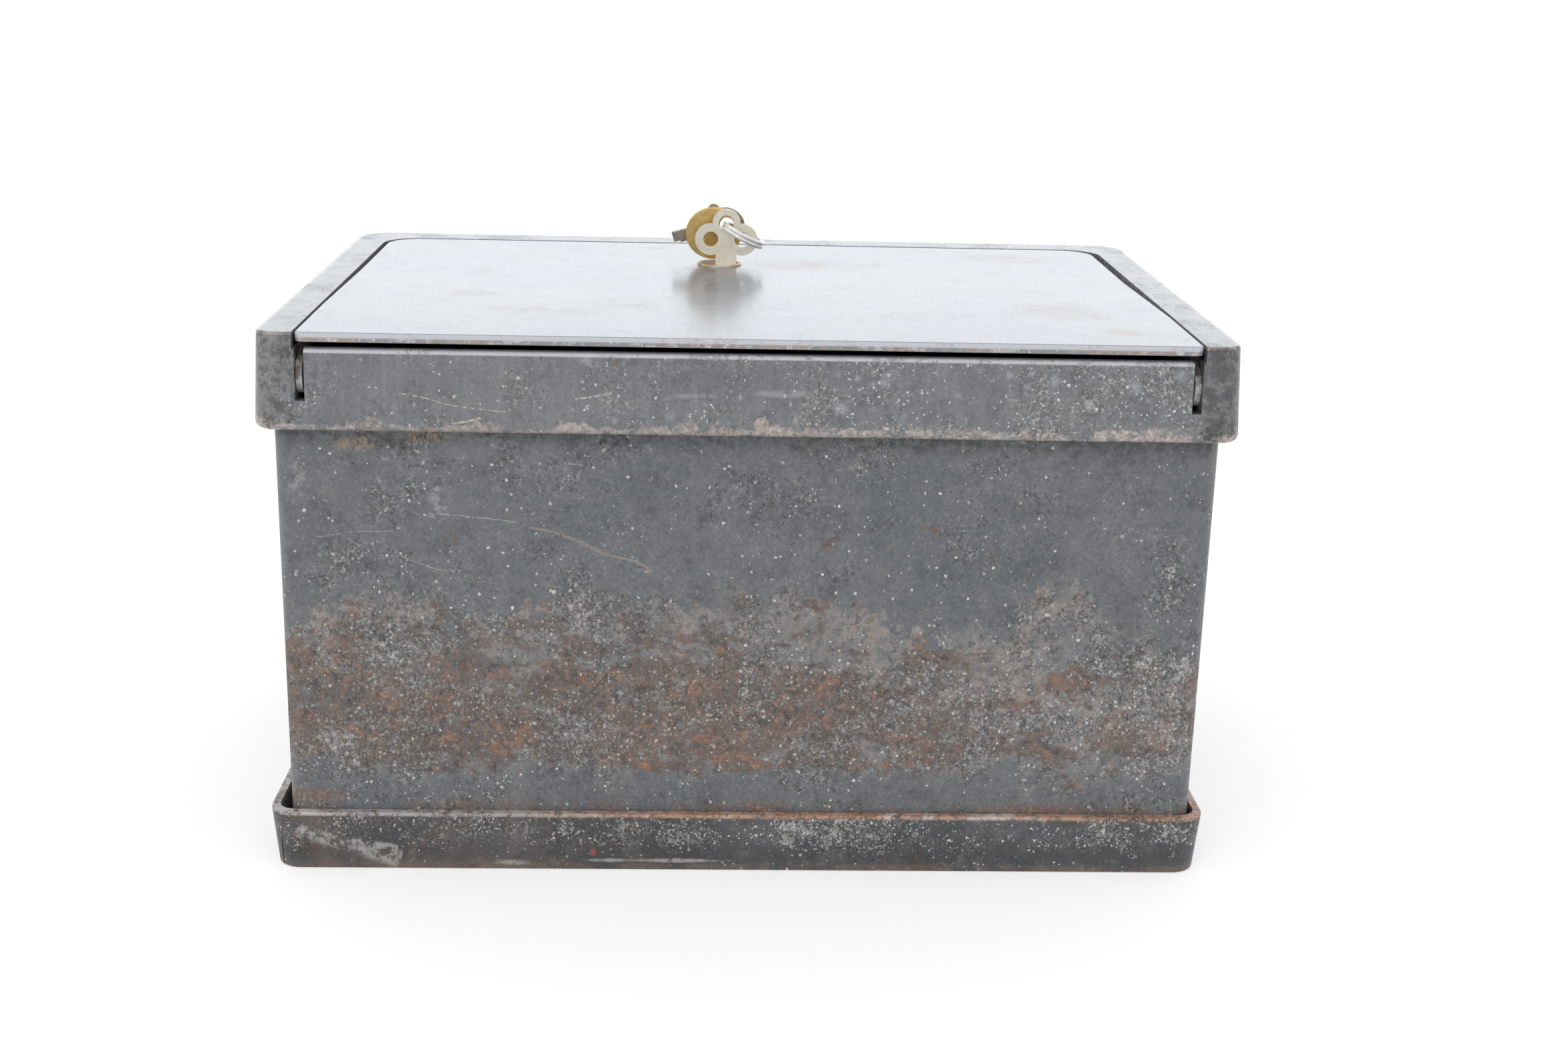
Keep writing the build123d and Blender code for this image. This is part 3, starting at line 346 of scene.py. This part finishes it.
# Floor plate
# A plain steel plate riveted to four strips inside the foot of the walls. The same enamel covers it and
# the strips, rubbed where the box has been slid about.
floor_paint, sockets, place = painted("floor_enamel")
aged = enamelled(place, srgb(98, 99, 101), flecks=0.35, specks=0.1, rust=0.35, scratches=1.0)
finish(sockets, aged["Color"], aged["Roughness"], aged["Height"], 0.00025)
wear(floor_paint, "base_plate", "foot_strips")

# Plinth band
# A strip of 3 mm steel bent round the foot, its ends meeting in an open seam at the left corner of the
# hinge side. Its crown is worn to bare metal, and its face is darker and browner than the walls.
band_paint, sockets, place = painted("plinth_enamel")
x, y, z = axes(place)
hinge_side = y < -0.1
ragged = grain(place, 60, 8, 0.72)
fine = grain(place, 320, 7, 0.78)
upper = fade(z, 0.004, 0.011)
aged = enamelled(
    place,
    enamel=srgb(63, 64, 67),
    flecks=0.1 + upper * 0.46,
    specks=0.08 + upper * 0.5,
    rust=0.14,
    scratches=0.4,
)
shadowed = fade(abs(z - 0.0068), 0.0055, 0.0015)
colour = laid_over(shadowed * 0.3, aged["Color"], srgb(58, 59, 62))
brown = fade(ragged, 0.4, 0.62) * fade(x, 0.0, -0.13)
colour = laid_over(brown * 0.6, colour, srgb(112, 94, 84))
sole = fade(z, 0.0032, 0.0016) * fade(ragged, 0.34, 0.6)
colour = laid_over(sole * 0.7, colour, srgb(126, 108, 94))
# pale scuffs across the left end, a worn line low on the hinge side, and a small red chip above it
scuffs = drawn_line(x, z, [(-151, 14.2), (-139, 10.4), (-131, 8)], 3.2, hinge_side)
scuffs = scuffs | drawn_line(x, z, [(-131, 8.6), (-121, 5), (-116, 3.4)], 4.2, hinge_side)
scuffs = scuffs | drawn_line(x, z, [(-133, 9.6), (-117, 7.6)], 2.0, hinge_side)
scuffs = scuffs * fade(fine, 0.44, 0.56)
low_line = soft_spot(x, z, (-28, 3.6), (26, 0.9), ragged, 1.0, 0.5)
low_line = (low_line | soft_spot(x, z, (-78, 2.6), (8, 1.6), ragged)) * hinge_side * fade(fine, 0.36, 0.5)
colour = laid_over((scuffs | low_line) * 0.82, colour, srgb(186, 183, 179))
chip = soft_spot(x, z, (-51, 6.7), (1.5, 1.5), ragged) * hinge_side
colour = laid_over(chip * 0.8, colour, srgb(176, 96, 84))
# the crown of the band: bare metal, orange and pink on the right, grey-white on the left
band_top = 0.0205
crown = fade(z, band_top - 0.0016, band_top - 0.0007)
crown_tone = laid_over(fade(x, -0.1, -0.02), srgb(192, 188, 186), srgb(202, 160, 136))
crown_tone = laid_over(fade(ragged, 0.5, 0.62), crown_tone, srgb(222, 208, 200))
crown_tone = laid_over(fade(fine, 0.5, 0.4), crown_tone, srgb(126, 110, 101))
colour = laid_over(crown * 0.96, colour, crown_tone)
finish(sockets, colour, aged["Roughness"], aged["Height"], 0.0003)
wear(band_paint, "plinth_band")

# Rim frame
# The heavy rim is one drawn piece that fits over the top of the body: a skirt with round corners and a
# flat flange the lid drops into. Its hinge side is cut down and slotted for the knuckles.
rim_paint, sockets, place = painted("rim_enamel", {"Coat Roughness": 0.25, "Coat IOR": 1.6})
x, y, z = axes(place)
hinge_side = y < -0.1
rightward = fade(x, -0.03, 0.06)
ragged = grain(place, 55, 8, 0.72)
fine = grain(place, 300, 7, 0.78)
grit = grain(place, 800, 4, 0.8)
aged = enamelled(
    place,
    enamel=srgb(112, 115, 120),
    flecks=0.36 + rightward * 0.12,
    specks=0.1 + rightward * 0.3,
    rust=0.03,
    scratches=0.6,
)
# faint upright streaks, and the corners beside the slots mottled and darker
streaks = grain(stretched(place, (1, 1, 0.14)), 230, 6, 0.72)
colour = laid_over(fade(streaks, 0.5, 0.68) * 0.4, aged["Color"], srgb(146, 148, 151))
colour = laid_over(fade(streaks, 0.48, 0.32) * 0.4, colour, srgb(84, 86, 90))
right_post = fade(x, 0.1425, 0.147) * hinge_side
colour = laid_over(right_post * 0.75, colour, srgb(74, 74, 77))
posts = fade(abs(x), 0.1435, 0.1455) * hinge_side
colour = laid_over(posts * (fade(fine, 0.5, 0.6) * 0.6), colour, srgb(144, 139, 136))
colour = laid_over(posts * (fade(fine, 0.52, 0.42) * 0.85), colour, srgb(68, 66, 67))
# pale round blotches from 1 to 5 mm, thickest on the right half of the skirt
edge_noise = (fine - 0.5) * 0.42
for cells_a_metre, reach, share in ((75, 0.17, 0.55), (160, 0.24, 0.6)):
    away, chance, size, _ = cells(place, cells_a_metre)
    blotch = fade(away + edge_noise, 0.1 + size * reach, 0.02) * (chance < fade(x, -0.09, 0.04) * share)
    colour = laid_over(blotch * 0.75, colour, srgb(172, 176, 182))
# a chalky streak along the middle of the skirt
streak = soft_spot(x, z, (12, 167.2), (20, 1.4), ragged) | soft_spot(x, z, (-18, 166), (9, 1.2), ragged)
streak = streak * hinge_side * fade(fine, 0.36, 0.52)
colour = laid_over(streak * 0.55, colour, srgb(170, 170, 172))
# the lowest few millimetres of the skirt: a broken pinkish-grey band of bare metal
skirt_foot = 0.1527
band = fade(z + (ragged - 0.5) * 0.021, skirt_foot + 0.0035, skirt_foot + 0.0023) * fade(fine, 0.4, 0.52)
band_tone = laid_over(fade(grit, 0.4, 0.6), srgb(160, 143, 135), srgb(222, 210, 203))
tan = fade(grain(place, 30, 5), 0.54, 0.64) * 0.6
band_tone = laid_over(tan, band_tone, srgb(196, 168, 152))
colour = laid_over(band * (0.66 + rightward * 0.2), colour, band_tone)
# scratches beside the left slot
curve = [(-111.3, 165.5), (-103, 164), (-96, 161.9), (-87, 160.8), (-78, 159.9)]
scratches = drawn_line(x, z, curve, 0.28, hinge_side)
scratches = scratches | drawn_line(x, z, [(-96, 155.8), (-90.5, 156.7), (-86, 157.9)], 0.45, hinge_side)
scratches = scratches | drawn_line(x, z, [(-56, 164.4), (-49, 165.6), (-44, 166.8)], 0.45, hinge_side)
colour = laid_over(scratches * fade(grit, 0.42, 0.56) * 0.85, colour, srgb(214, 208, 190))
# a painted highlight on the cut-down top edge of the hinge side; the outer top edge of the frame rubbed
# bright
cut_top, slot_x = 0.1782, 0.141
# painted highlight: the rounded top edge of the cut-down skirt drawn pale bluish white
lip_highlight = fade(z, cut_top - 0.0006, cut_top) * (hinge_side * fade(abs(x), slot_x + 0.0005, slot_x))
colour = laid_over(lip_highlight * 0.85, colour, srgb(222, 222, 228))
frame_top, eased_x, eased_y = 0.1838, 0.1548, 0.1056
outermost = fade(abs(x), eased_x, eased_x + 0.0009) | fade(abs(y), eased_y, eased_y + 0.0009)
top_edge = fade(z, frame_top - 0.00065, frame_top) * outermost
colour = laid_over(top_edge * fade(fine, 0.36, 0.52) * 0.7, colour, srgb(186, 174, 166))
finish(sockets, colour, aged["Roughness"], aged["Height"], 0.00025)
(0.64 - fade(ragged, 0.45, 0.68) * 0.3).feeds(sockets["Coat Weight"])
wear(rim_paint, "rim_frame")

# Lid plate
# A flat 3 mm plate with eased edges and a round hole for the lock. Its enamel keeps more of its gloss,
# so it mirrors the sky, and it is stained by thin brown rust in a few places.
lid_paint, sockets, place = painted("lid_enamel", {"Coat Roughness": 0.15, "Coat IOR": 1.6})
x, y, z = axes(place)
ragged = grain(place, 38, 9, 0.74)
fine = grain(place, 260, 7, 0.78)
grit = grain(place, 700, 4, 0.8)
aged = enamelled(place, srgb(110, 117, 130), flecks=0.2, specks=0.04, rust=0.05, scratches=0.35)


def stains(*ovals):
    """Ragged ovals on the lid, each given by its centre (x, y) and its half size, in millimetres."""
    total = None
    for centre, size in ovals:
        spot = soft_spot(x, y, centre, size, ragged)
        total = spot if total is None else total | spot
    return total


# one torn stain near the hinges, and fainter broad ones in the right corners and beside the key
torn = fade(grain(place, 95, 7, 0.72), 0.47, 0.55)
stain = stains(((-62, -60), (36, 14)), ((-95, -32), (14, 9)), ((-42, -48), (16, 12)))
stain = stain * torn * fade(fine, 0.4, 0.5)
right_corners = (((106, -50), (22, 20)), ((124, -86), (13, 9)), ((104, 66), (26, 14)))
beside_key = (((-12, 26), (20, 12)), ((22, 42), (24, 20)))
broad = stains(*right_corners, *beside_key) * (0.3 + torn * 0.7)
plate_foot, plate_top = 0.1813, 0.1843
brown = (stain | broad) * fade(z, plate_foot + 0.0007, plate_foot + 0.0017)
colour = laid_over(brown * 0.5, aged["Color"], srgb(190, 168, 150))
# the cut edges of the plate: a painted sky reflection where they are eased, mottled rusty pink and grey below
sides = fade(z, plate_top - 0.00006, plate_top - 0.00018) * fade(z, plate_foot + 0.00004, plate_foot + 0.0002)
edge_rust_and_reflection = laid_over(fade(ragged, 0.44, 0.58), srgb(148, 147, 150), srgb(184, 158, 146))
edge_rust_and_reflection = laid_over(fade(fine, 0.5, 0.62), edge_rust_and_reflection, srgb(220, 218, 218))
edge_rust_and_reflection = laid_over(fade(fine, 0.42, 0.32), edge_rust_and_reflection, srgb(106, 102, 103))
# painted reflection: the eased upper part of the edge drawn pale bluish white
edge_rust_and_reflection = laid_over(fade(z, plate_foot + 0.0011, plate_foot + 0.0017), edge_rust_and_reflection, srgb(222, 225, 232))
colour = laid_over(sides * 0.88, colour, edge_rust_and_reflection)
finish(sockets, colour, 0.24 + aged["Roughness"] * 0.25 + brown * 0.12, aged["Height"], 0.00008)
# the gloss is dulled under the stains, in fine grit, in slow clouds and towards the lock side
dull = brown * 0.05 + fade(grit, 0.5, 0.72) * 0.1 + fade(ragged, 0.46, 0.66) * 0.06
(0.58 - (dull + fade(y, -0.03, 0.09) * 0.07)).feeds(sockets["Coat Weight"])
wear(lid_paint, "lid_plate")

# Rivets and studs
# Soft steel rivets hold the rim, the hinge brackets, the lid rests and the floor. Their heads were
# hammered flat, and are worn to a pale, pinkish metal.
rivet_metal, sockets, place = painted("rivet_iron")
aged = enamelled(place, srgb(206, 188, 179), flecks=0.4, specks=0.05, rust=0.05, scratches=0.0)
finish(sockets, aged["Color"], aged["Roughness"], aged["Height"], 0.0003)
wear(rivet_metal, "rim_rivets", "base_rivets", "bracket_rivets", "rest_rivets", "arm_studs")

# Hinge arms, brackets and lid rests
# Strip steel, bent cold and left bare: a dull grey skin with brown rust in its pores, and near-white rear
# edges on the knuckles in their slots, partly rubbed metal and partly a painted highlight.
bare_steel, sockets, place = painted("bare_strip_steel", {"Metallic": 0.1})
x, y, z = axes(place)
skin = grain(place, 150, 6, 0.7)
patches = grain(place, 55, 7, 0.66)
colour = laid_over(fade(skin, 0.35, 0.65), srgb(112, 108, 104), srgb(150, 146, 140))
colour = laid_over(fade(patches, 0.5, 0.62) * 0.7, colour, srgb(136, 100, 78))
# painted highlight and rubbed metal: the rear edges of the knuckles drawn near white
knuckle_highlight_and_wear = fade(y, -0.1015, -0.1045) * fade(skin, 0.42, 0.56)
colour = laid_over(knuckle_highlight_and_wear * 0.8, colour, srgb(222, 220, 216))
finish(sockets, colour, 0.4 + patches * 0.3, skin, 0.0002)
wear(bare_steel, "hinge_arm_left", "hinge_arm_right", "hinge_bracket_left", "hinge_bracket_right")
wear(bare_steel, "lid_rest_left", "lid_rest_right", "lid_rest_front")

# Pins, bolt, cam, post and cap screws
# Turned and filed steel, kept bright by oil inside the lock and the hinges.
bright_steel, sockets, place = painted("oiled_steel", {"Metallic": 0.85})
lines = grain(stretched(place, (60, 900, 60)), 1.0, 3, 0.6)
tarnish = grain(place, 120, 5, 0.6)
colour = laid_over(fade(tarnish, 0.4, 0.7), srgb(176, 174, 170), srgb(128, 118, 106))
finish(sockets, colour, 0.26 + lines * 0.2, lines, 0.00003)
wear(bright_steel, "hinge_pin_left", "hinge_pin_right", "lever_post")
wear(bright_steel, "bolt_stump", "barrel_cam", "lock_bolt", "cap_screws")

# Lock case and cap
# A pressed steel tray and its cover under the lid, zinc-grey and spotted.
case_metal, sockets, place = painted("lock_case_sheet", {"Metallic": 0.5})
spots = grain(place, 210, 6, 0.7)
colour = laid_over(fade(spots, 0.4, 0.62), srgb(126, 126, 124), srgb(158, 156, 150))
colour = laid_over(fade(grain(place, 70, 6), 0.56, 0.68) * 0.6, colour, srgb(128, 98, 76))
finish(sockets, colour, 0.32 + spots * 0.25, spots, 0.0001)
wear(case_metal, "lock_case", "lock_cap")

# Levers and their springs
# Stamped brass plates, each with a leaf of spring bronze let into its back edge.
lever_brass, sockets, place = painted("lever_brass", {"Metallic": 0.9})
lines = grain(stretched(place, (900, 80, 80)), 1.0, 3, 0.6)
colour = laid_over(fade(grain(place, 160, 5), 0.4, 0.68), srgb(196, 160, 92), srgb(142, 108, 62))
finish(sockets, colour, 0.3 + lines * 0.2, lines, 0.00003)
for n in (1, 2, 3):
    wear(lever_brass, f"lever_{n}", f"lever_spring_{n}")

# Lock collar and barrel
# A turned collar of nickelled brass pressed into the lid. The nickel has worn through to the brass, and
# rust from the lid has crept on to it.
collar_metal, sockets, place = painted("worn_nickel", {"Metallic": 0.3})
skin = grain(place, 420, 5, 0.66)
patches = grain(place, 170, 5, 0.6)
colour = laid_over(fade(patches, 0.45, 0.6), srgb(226, 218, 206), srgb(206, 178, 132))
colour = laid_over(fade(skin, 0.56, 0.68) * 0.5, colour, srgb(150, 120, 98))
finish(sockets, colour, 0.28 + skin * 0.3, skin, 0.00005)
wear(collar_metal, "lock_collar", "lock_barrel")

# Key
# A flat steel key with a bow of three rings, tumbled smooth and plated with dull nickel. File marks run
# slanting across its shank.
key_metal, sockets, place = painted("dull_nickel", {"Metallic": 0.05})
x, y, z = axes(place)
skin = grain(place, 520, 5, 0.66)
patches = grain(place, 150, 5, 0.6)
colour = laid_over(fade(patches, 0.38, 0.66), srgb(255, 250, 234), srgb(246, 238, 218))
colour = laid_over(fade(skin, 0.56, 0.7) * 0.3, colour, srgb(170, 160, 142))
slant = stretched(place, (1400, 200, 90), rotation=(0, 0.6, 0))
shank_top = 0.1985
filed = fade(grain(slant, 1.0, 3, 0.6), 0.5, 0.62) * fade(z, shank_top, shank_top - 0.003)
colour = laid_over(filed * 0.55, colour, srgb(255, 254, 246))
finish(sockets, colour, 0.3 + skin * 0.2, skin, 0.00006)
wear(key_metal, "bow_key")

# Tag and spare key
# A plain disc of brass, browned by handling, and a small flat steel key gone grey-brown with age. Both
# hang loose on the ring.
tag_metal, sockets, place = painted("browned_brass", {"Metallic": 0.25})
skin = grain(place, 330, 6, 0.7)
patches = grain(place, 110, 5, 0.6)
colour = laid_over(fade(patches, 0.36, 0.66), srgb(250, 220, 146), srgb(222, 186, 114))
colour = laid_over(fade(skin, 0.54, 0.7) * 0.5, colour, srgb(104, 84, 54))
finish(sockets, colour, 0.34 + skin * 0.25, skin, 0.00005)
wear(tag_metal, "brass_tag")

spare_metal, sockets, place = painted("blackened_steel", {"Metallic": 0.2})
skin = grain(place, 400, 6, 0.7)
colour = laid_over(fade(skin, 0.4, 0.64), srgb(160, 154, 136), srgb(188, 180, 158))
finish(sockets, colour, 0.4 + skin * 0.25, skin, 0.00006)
wear(spare_metal, "spare_key")

# Split ring
# Spring-steel wire wound into two touching turns, its cut ends lying against the turn beside them.
ring_metal, sockets, place = painted("bright_wire", {"Metallic": 0.45})
skin = grain(place, 700, 4, 0.6)
colour = laid_over(fade(skin, 0.45, 0.7), srgb(250, 250, 248), srgb(226, 223, 217))
finish(sockets, colour, 0.16 + skin * 0.15, skin, 0.00002)
wear(ring_metal, "key_ring")

# Studio
# A pale floor under a white surround that lights the box from all round, a long lamp low behind the lid
# that gives the tops their sheen, and a small one at the front left. Seen straight or mirrored, the floor
# and the surround are white.


def seen_directly(tree):
    """1 where the eye, a gloss or a glass looks at the surface, and 0 where light only bounces off it."""
    ray = shade(tree, "LightPath", {})
    return ray["Is Camera Ray"] | ray["Is Glossy Ray"] | ray["Is Transmission Ray"]


floor_glow = 0.44
floor_material = bpy.data.materials.new("pale_floor")
floor_material.use_nodes = True
tree = floor_material.node_tree
sockets = tree.nodes["Principled BSDF"].inputs
sockets["Base Color"].default_value = (0.86, 0.86, 0.855, 1)
sockets["Roughness"].default_value = 0.9
sockets["Specular IOR Level"].default_value = 0.0
sockets["Emission Color"].default_value = (1, 1, 1, 1)
(seen_directly(tree) * floor_glow).feeds(sockets["Emission Strength"])
reach = 20.0
floor_mesh = bpy.data.meshes.new("floor")
corners = [(-reach, -reach, 0), (reach, -reach, 0), (reach, reach, 0), (-reach, reach, 0)]
floor_mesh.from_pydata(corners, [], [(0, 1, 2, 3)])
floor_mesh.materials.append(floor_material)
floor = bpy.data.objects.new("floor", floor_mesh)
bpy.context.scene.collection.objects.link(floor)

light_all_round = 0.75
world = bpy.data.worlds.new("white_surround")
bpy.context.scene.world = world
world.use_nodes = True
tree = world.node_tree
tree.nodes.clear()
strength = seen_directly(tree) * (1.0 - light_all_round) + light_all_round
background = shade(tree, "Background", {"Color": (0.985, 0.99, 1.0, 1), "Strength": strength})
background[0].feeds(tree.nodes.new("ShaderNodeOutputWorld").inputs[0])


def soft_light(name, place, aim, size, watts, colour):
    """A rectangular lamp at a place, facing a point: its z axis points away from that point."""
    lamp = bpy.data.lights.new(name, "AREA")
    lamp.shape = "RECTANGLE"
    lamp.size, lamp.size_y = size
    lamp.energy = watts
    lamp.color = colour
    rig = bpy.data.objects.new(name, lamp)
    bpy.context.scene.collection.objects.link(rig)
    away = np.array(place) - np.array(aim)
    away = away / np.linalg.norm(away)
    side = np.cross((0, 0, 1), away)
    side = side / np.linalg.norm(side)
    turn = np.eye(4)
    turn[:3, 0], turn[:3, 1], turn[:3, 2], turn[:3, 3] = side, np.cross(away, side), away, place
    rig.matrix_world = Matrix(turn.tolist())
    rig.visible_camera = False


soft_light("back_strip", (0.0, 3.2, 0.95), (0, 0, 0.15), (5.0, 1.5), 23, (0.86, 0.93, 1.0))
soft_light("front_left", (-1.6, -2.6, 1.5), (0, 0, 0.1), (1.8, 1.8), 10, (1.0, 0.99, 0.97))

# Camera
# It stands 0.63 m in front of the hinge side, a little to the left, and looks down by 16 degrees. Yaw,
# pitch and roll are in radians.
eye = (-0.014906, -0.739, 0.309476)
yaw, pitch, roll = 0.0412, 0.2852, 0.0245
ahead = np.array([math.sin(yaw) * math.cos(pitch), math.cos(yaw) * math.cos(pitch), -math.sin(pitch)])
level = np.array([math.cos(yaw), -math.sin(yaw), 0.0])
upright = np.cross(level, ahead)
turn = np.eye(4)
turn[:3, 0] = math.cos(roll) * level + math.sin(roll) * upright
turn[:3, 1] = math.cos(roll) * upright - math.sin(roll) * level
turn[:3, 2] = -ahead
turn[:3, 3] = eye
focal_length, film_width = 46.6, 36.0
lens = bpy.data.cameras.new("view")
lens.sensor_width = film_width
lens.lens = focal_length
camera = bpy.data.objects.new("view", lens)
bpy.context.scene.collection.objects.link(camera)
camera.matrix_world = Matrix(turn.tolist())
bpy.context.scene.camera = camera
bpy.context.scene.view_settings.view_transform = "Standard"
